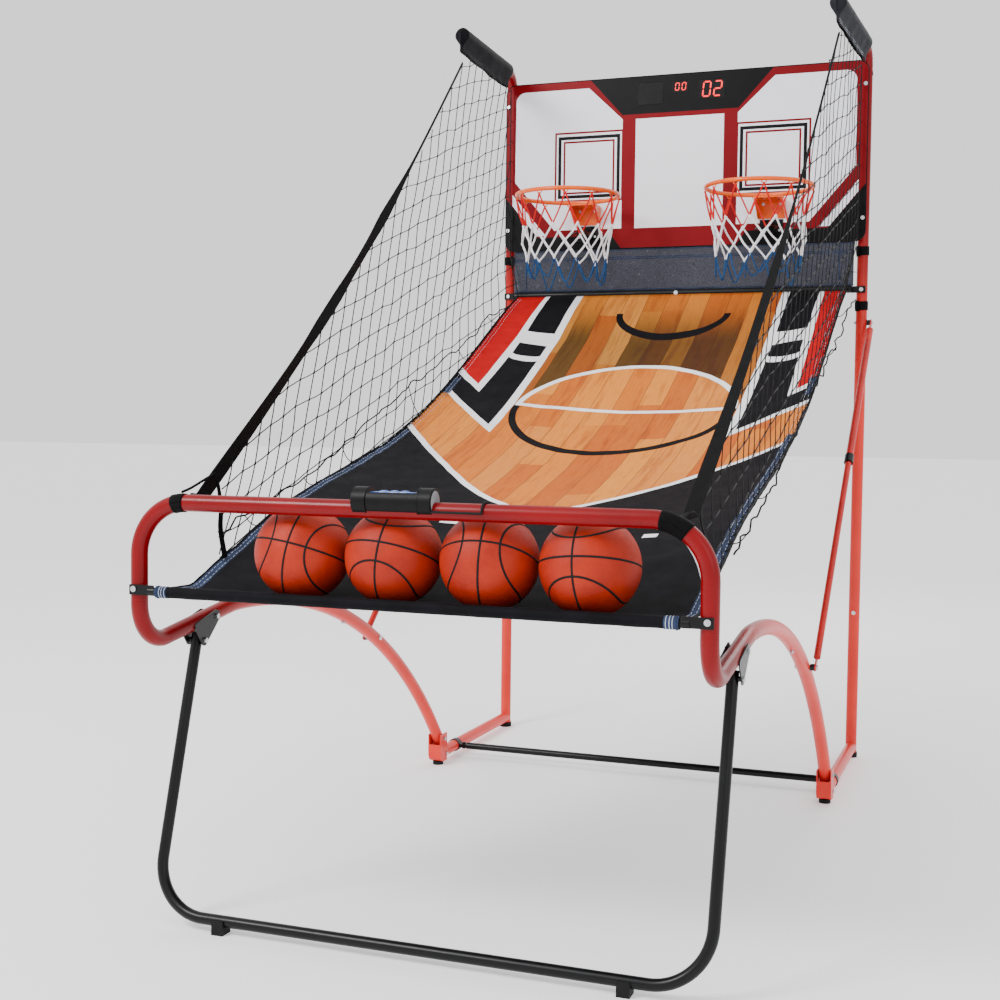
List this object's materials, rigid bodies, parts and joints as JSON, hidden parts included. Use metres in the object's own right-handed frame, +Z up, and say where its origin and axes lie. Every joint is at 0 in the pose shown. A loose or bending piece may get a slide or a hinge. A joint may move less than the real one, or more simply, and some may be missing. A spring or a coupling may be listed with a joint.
{
  "type": "basketball hoop machine",
  "caption": "Folding two-player basketball hoop machine: tube frame, board with score display, netted hoops, sloping fabric ball return, side nets, control unit and loose balls.",
  "frame": {"origin": "on the floor under the middle of the footprint", "axes": "+Z up; the player stands at -Y and faces +Y; +X to the player's right"},
  "size_m": [1.1586, 2.0593, 2.0729],
  "materials": {
    "red_tube": "satin red paint",
    "black_tube": "satin black paint",
    "zinc": "zinc plated",
    "board": "printed fibreboard, gloss",
    "black_plastic": "fine grain",
    "smoke_window": "smoked, clear",
    "digit_red": "lit",
    "circuit_green": "solder mask",
    "cell_metal": "wrapped cell",
    "hoop_orange": "gloss orange paint",
    "net_cord": "knotted cord, red, white and blue",
    "rubber_black": "matte",
    "webbing": "woven",
    "mesh_grey": "mesh",
    "net_black": "knotted net",
    "court_cloth": "printed court",
    "black_cloth": "woven",
    "button_blue": "gloss",
    "ball_orange": "pebbled"
  },
  "bodies": {
    "rear_frame": {"rear_post_lower_L": "red_tube", "rear_post_lower_R": "red_tube", "rear_post_upper_L": "red_tube", "rear_post_upper_R": "red_tube", "foot_tube_L": "red_tube", "foot_tube_R": "red_tube", "socket_bracket_L": "red_tube", "socket_bracket_R": "red_tube", "top_arm_L": "red_tube", "top_arm_R": "red_tube", "spreader_bar": "black_tube", "back_tube": "black_tube", "backboard": "board", "score_housing": "black_plastic", "display_window": "smoke_window", "digit_modules": "digit_red", "score_pcb": "circuit_green", "battery_cover": "black_plastic", "batteries": "cell_metal", "hoop_L": "hoop_orange", "hoop_R": "hoop_orange", "sensor_housings": "black_plastic", "hoop_net_L": "net_cord", "hoop_net_R": "net_cord", "caps_and_feet": "rubber_black", "frame_bolts": "zinc", "mesh_skirt": "mesh_grey", "net_straps": "webbing", "arm_sleeves": "black_cloth", "side_net_L": "net_black", "side_net_R": "net_black", "ramp_fabric": "court_cloth"},
    "paddle_L": {"sensor_paddle_L": "black_plastic"},
    "paddle_R": {"sensor_paddle_R": "black_plastic"},
    "front_frame": {"rear_arch_L": "red_tube", "rear_arch_R": "red_tube", "front_arch_L": "red_tube", "front_arch_R": "red_tube", "front_bar": "red_tube", "fabric_tube": "black_tube", "ball_pocket": "black_cloth", "front_bolts": "zinc", "bar_straps": "webbing", "control_housing": "black_plastic", "control_cable": "rubber_black"},
    "key_1": {"button_1": "button_blue"},
    "key_2": {"button_2": "button_blue"},
    "key_3": {"button_3": "button_blue"},
    "front_leg": {"leg_half_L": "black_tube", "leg_half_R": "black_tube", "leg_brackets": "black_tube", "leg_feet": "rubber_black"},
    "brace_outer_L": {"brace_upper_L": "red_tube"},
    "brace_outer_R": {"brace_upper_R": "red_tube"},
    "brace_inner_L": {"brace_lower_L": "red_tube"},
    "brace_inner_R": {"brace_lower_R": "red_tube"},
    "loose_ball_1": {"ball_1": "ball_orange"},
    "loose_ball_2": {"ball_2": "ball_orange"},
    "loose_ball_3": {"ball_3": "ball_orange"},
    "loose_ball_4": {"ball_4": "ball_orange"}
  },
  "joints": [
    {"name": "frame_fold", "type": "hinge", "parent": "rear_frame", "child": "front_frame", "pos_m": [0, 0.44897, 0.0738], "axis": [-1, 0, 0], "range_deg": [0, 60], "deforming": ["ramp_fabric", "side_net_L", "side_net_R", "net_straps"]},
    {"name": "leg_fold", "type": "hinge", "parent": "front_frame", "child": "front_leg", "pos_m": [0, -0.765, 0.57331], "axis": [1, 0, 0], "range_deg": [0, 98]},
    {"name": "brace_turn_L", "type": "hinge", "parent": "rear_frame", "child": "brace_outer_L", "pos_m": [-0.5676, 1.008, 1.268], "axis": [1, 0, 0], "range_deg": [0, 13.47]},
    {"name": "brace_slide_L", "type": "slide", "parent": "brace_outer_L", "child": "brace_inner_L", "axis": [0, 0.7579, 0.6523], "range_m": [0, 0.4952]},
    {"name": "brace_turn_R", "type": "hinge", "parent": "rear_frame", "child": "brace_outer_R", "pos_m": [0.5676, 1.008, 1.268], "axis": [1, 0, 0], "range_deg": [0, 13.47]},
    {"name": "brace_slide_R", "type": "slide", "parent": "brace_outer_R", "child": "brace_inner_R", "axis": [0, 0.7579, 0.6523], "range_m": [0, 0.4952]},
    {"name": "paddle_press_L", "type": "hinge", "parent": "rear_frame", "child": "paddle_L", "pos_m": [-0.28, 0.9639, 1.556], "axis": [1, 0, 0], "range_deg": [0, 16], "stiffness_Nm_per_rad": 0.06, "springref_deg": -8.59},
    {"name": "paddle_press_R", "type": "hinge", "parent": "rear_frame", "child": "paddle_R", "pos_m": [0.28, 0.9639, 1.556], "axis": [1, 0, 0], "range_deg": [0, 16], "stiffness_Nm_per_rad": 0.06, "springref_deg": -8.59},
    {"name": "key_press_1", "type": "slide", "parent": "front_frame", "child": "key_1", "axis": [0, 0, -1], "range_m": [0, 0.002], "stiffness_N_per_m": 400, "springref_m": -0.0005},
    {"name": "key_press_2", "type": "slide", "parent": "front_frame", "child": "key_2", "axis": [0, 0, -1], "range_m": [0, 0.002], "stiffness_N_per_m": 400, "springref_m": -0.0005},
    {"name": "key_press_3", "type": "slide", "parent": "front_frame", "child": "key_3", "axis": [0, 0, -1], "range_m": [0, 0.002], "stiffness_N_per_m": 400, "springref_m": -0.0005},
    {"name": "ball_lift_1", "type": "slide", "parent": "front_frame", "child": "loose_ball_1", "axis": [0, 0.5736, 0.8192], "range_m": [0, 0.15]},
    {"name": "ball_lift_2", "type": "slide", "parent": "front_frame", "child": "loose_ball_2", "axis": [0, 0.5736, 0.8192], "range_m": [0, 0.15]},
    {"name": "ball_lift_3", "type": "slide", "parent": "front_frame", "child": "loose_ball_3", "axis": [0, 0.5736, 0.8192], "range_m": [0, 0.15]},
    {"name": "ball_lift_4", "type": "slide", "parent": "front_frame", "child": "loose_ball_4", "axis": [0, 0.5736, 0.8192], "range_m": [0, 0.15]}
  ],
  "couplings": [
    {"joint": "brace_turn_L", "follows": "frame_fold", "ratio": 0.22284},
    {"joint": "brace_slide_L", "follows": "frame_fold", "m_per_rad": 0.47243},
    {"joint": "brace_turn_R", "follows": "frame_fold", "ratio": 0.22284},
    {"joint": "brace_slide_R", "follows": "frame_fold", "m_per_rad": 0.47243}
  ]
}
